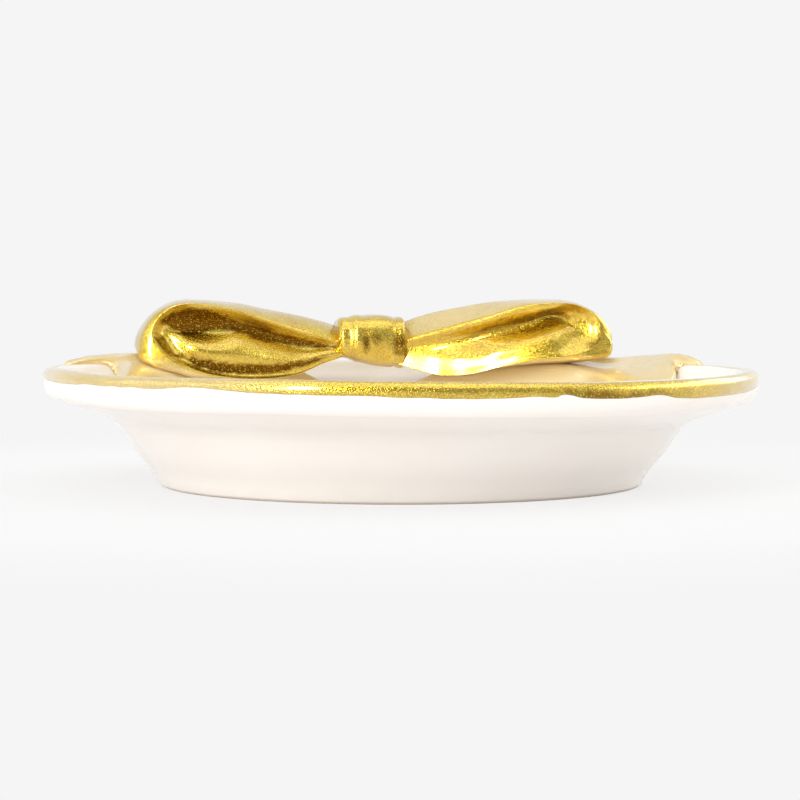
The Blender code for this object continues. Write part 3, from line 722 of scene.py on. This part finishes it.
# Knot
# A small cushion of clay wrapped round the waist of the bow, with the pleats of a pulled ribbon
# at its two sides and a flat top. It covers the ends of both loops.
knot_points = 96
knot_steps = 48
# Half its width, its depth and its height, and how high its top lies, in millimetres
knot_half_width, knot_depth, knot_height, knot_top = 6.8, 13.0, 10.4, 30.2
knot_dents = (3.5 * mm, 0.12 * mm)
# How much higher than an even section its underside lies at the left, and how much lower at the
# right, and how square the section is, from 1 for round to 0 for square
knot_lift, knot_drop, knot_roundness = 1.6, 1.2, 0.72
# Share of the full section across the knot, with a pleat near each side
knot_swell = ((-1.0, 0.78), (-0.94, 0.85), (-0.86, 0.895), (-0.78, 0.90), (-0.68, 0.905),
              (-0.50, 0.985), (-0.42, 1.0), (-0.30, 0.99), (-0.18, 0.985), (0.0, 1.0), (0.2, 1.0),
              (0.4, 0.985), (0.54, 0.965), (0.64, 0.93), (0.72, 0.885), (0.80, 0.905),
              (0.90, 0.91), (0.96, 0.87), (1.0, 0.79))
# Spots of painted shade on its front: place across, height, half sizes and how much
knot_shade_spots = ((5.4, 24.2, 1.9, 3.0, 1.0), (-1.3, 24.4, 1.1, 2.1, 1.0),
              (0.6, 25.2, 1.3, 1.4, 0.7))
bm = bmesh.new()
edges = []
for step in range(knot_steps + 1):
    across = -1 + 2 * step / knot_steps
    size = read(knot_swell, across)
    lift = knot_lift * (1 - across) / 2 - knot_drop * (1 + across) / 2
    circle = bmesh.ops.create_circle(bm, segments=knot_points, radius=1)["verts"]
    for index, vert in enumerate(circle):
        angle = math.tau * index / knot_points
        wide, high = math.cos(angle), math.sin(angle)
        wide = math.copysign(abs(wide) ** knot_roundness, wide)
        high = math.copysign(abs(high) ** knot_roundness, high)
        half = knot_height / 2 - (lift if high < 0 else 0)
        vert.co = Vector((across * knot_half_width, bow_line(0) + wide * size * knot_depth / 2,
                          knot_top - knot_height / 2 + high * size * half)) * mm
    edges.append(list({edge for vert in circle for edge in vert.link_edges}))
for first, second in zip(edges, edges[1:]):
    bmesh.ops.bridge_loops(bm, edges=first + second)
for end in (edges[0], edges[-1]):
    bmesh.ops.contextual_create(bm, geom=end)
bmesh.ops.recalc_face_normals(bm, faces=bm.faces)
bm.normal_update()
# Painted shade in spots on the knot's front
shade_layer = bm.verts.layers.float.new("painted_shade")
for vert in bm.verts:
    vert.co += vert.normal * wobble(vert.co, *knot_dents)
    for out, height, half_wide, half_high, amount in knot_shade_spots:
        gap = math.hypot((vert.co.x / mm - out) / half_wide, (vert.co.z / mm - height) / half_high)
        gap += wobble(vert.co, 1.1 * mm, 0.3)
        if vert.normal.y < 0.2 and gap < 1:
            vert[shade_layer] = max(vert[shade_layer], amount * (1 - gap * gap))
knot = add_piece("gilt_knot", bm, gold_lustre, 60)
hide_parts("bow_knot")


# Studio
# A pale floor that runs out into white, a tall soft lamp in front on the left, a wide one
# overhead and a broad one on each side, in a room that is brighter behind the dish.
floor_material = bpy.data.materials.new("pale floor")
floor_material.use_nodes = True
tree = floor_material.node_tree
tree.nodes.clear()
place_on_floor = add_node(tree, "ShaderNodeTexCoord", (-1200, 100))
from_dish = add_node(tree, "ShaderNodeVectorMath", (-1000, 100), operation="LENGTH")
far_off = add_node(tree, "ShaderNodeMapRange", (-800, 100), interpolation_type="SMOOTHSTEP",
                   From_Min=0.075, From_Max=0.16, To_Min=0.75)
ray = add_node(tree, "ShaderNodeLightPath", (-1000, -250))
seen = add_node(tree, "ShaderNodeMath", (-750, -200), operation="ADD", use_clamp=True)
seen_too = add_node(tree, "ShaderNodeMath", (-550, -200), operation="ADD", use_clamp=True)
whitened = add_node(tree, "ShaderNodeMath", (-350, 0), operation="MULTIPLY")
paper = add_node(tree, "ShaderNodeBsdfDiffuse", (-350, 250), Color=(0.90, 0.90, 0.90, 1))
white = add_node(tree, "ShaderNodeEmission", (-350, -250), Color=(0.913, 0.913, 0.913, 1))
mixed = add_node(tree, "ShaderNodeMixShader", (-100, 0))
out = add_node(tree, "ShaderNodeOutputMaterial", (100, 0))
link_all(
    tree,
    (place_on_floor.outputs["Object"], from_dish.inputs[0]),
    (from_dish.outputs["Value"], far_off.inputs["Value"]),
    (ray.outputs["Is Camera Ray"], seen.inputs[0]),
    (ray.outputs["Is Glossy Ray"], seen.inputs[1]),
    (seen.outputs[0], seen_too.inputs[0]),
    (ray.outputs["Is Transmission Ray"], seen_too.inputs[1]),
    (seen_too.outputs[0], whitened.inputs[0]),
    (far_off.outputs["Result"], whitened.inputs[1]),
    (whitened.outputs[0], mixed.inputs[0]),
    (paper.outputs[0], mixed.inputs[1]),
    (white.outputs[0], mixed.inputs[2]),
    (mixed.outputs[0], out.inputs["Surface"]))
bm = bmesh.new()
bmesh.ops.create_circle(bm, cap_ends=True, segments=96, radius=2.5)
floor_mesh = bpy.data.meshes.new("studio_floor")
bm.to_mesh(floor_mesh)
bm.free()
floor_mesh.materials.append(floor_material)
floor = bpy.data.objects.new("studio_floor", floor_mesh)
bpy.context.scene.collection.objects.link(floor)

world = bpy.data.worlds.new("studio")
bpy.context.scene.world = world
world.use_nodes = True
tree = world.node_tree
tree.nodes.clear()
direction = add_node(tree, "ShaderNodeTexCoord", (-1000, 0))
towards = add_node(tree, "ShaderNodeVectorMath", (-800, 0), operation="DOT_PRODUCT")
towards.inputs[1].default_value = (0.41, 0.91, 0)
behind = add_node(tree, "ShaderNodeMapRange", (-600, 0), interpolation_type="SMOOTHSTEP",
                  From_Min=-0.75, From_Max=0.45, To_Min=0.42, To_Max=0.86)
ray = add_node(tree, "ShaderNodeLightPath", (-600, -300))
room = add_node(tree, "ShaderNodeBackground", (-300, 100), Color=(1, 1, 1, 1))
white = add_node(tree, "ShaderNodeBackground", (-300, -100), Color=(0.913, 0.913, 0.913, 1))
mixed = add_node(tree, "ShaderNodeMixShader", (-50, 0))
out = add_node(tree, "ShaderNodeOutputWorld", (150, 0))
link_all(
    tree,
    (direction.outputs["Generated"], towards.inputs[0]),
    (towards.outputs["Value"], behind.inputs["Value"]),
    (behind.outputs["Result"], room.inputs["Strength"]),
    (ray.outputs["Is Camera Ray"], mixed.inputs[0]),
    (room.outputs[0], mixed.inputs[1]),
    (white.outputs[0], mixed.inputs[2]),
    (mixed.outputs[0], out.inputs["Surface"]))

# Each lamp: where it stands, what it faces, its width and height in metres, and its power
lamps = {
    "front left": ((-0.65, -0.84, 0.35), (0, 0, 0.02), 0.17, 0.60, 5.7),
    "overhead": ((-0.05, -0.35, 1.10), (0, 0, 0), 1.7, 1.2, 5.6),
    "left side": ((-1.05, -0.08, 0.46), (0, 0, 0.02), 1.0, 0.8, 1.7),
    "right": ((1.0, 0.2, 0.45), (0, 0, 0.02), 1.5, 0.5, 4.2),
}
for name, (place, target, width, height, power) in lamps.items():
    lamp = bpy.data.lights.new(name, "AREA")
    lamp.shape = "RECTANGLE"
    lamp.size, lamp.size_y = width, height
    lamp.energy = power
    lamp_object = bpy.data.objects.new(name, lamp)
    lamp_object.location = place
    lamp_object.rotation_euler = (Vector(target) - Vector(place)).to_track_quat(
        "-Z", "Y").to_euler()
    lamp_object.visible_camera = False
    bpy.context.scene.collection.objects.link(lamp_object)

# The camera stands low in front of the dish and a little to its left, and looks slightly down
camera_distance, camera_height = 0.40435, 0.03395
camera_turn = math.radians(7.6)
picture_width, focal_length, horizon_rise = 800, 2227, 104
camera = bpy.data.cameras.new("camera")
camera.sensor_width = 36
camera.lens = camera.sensor_width * focal_length / picture_width
camera.shift_x = -1 / picture_width
camera.clip_start = 0.01
camera_object = bpy.data.objects.new("camera", camera)
camera_object.location = (-camera_distance * math.sin(camera_turn),
                          -camera_distance * math.cos(camera_turn), camera_height)
camera_object.rotation_euler = (math.pi / 2 - math.atan(horizon_rise / focal_length), 0,
                                -camera_turn)
bpy.context.scene.collection.objects.link(camera_object)
bpy.context.scene.camera = camera_object
bpy.context.scene.view_settings.view_transform = "Standard"
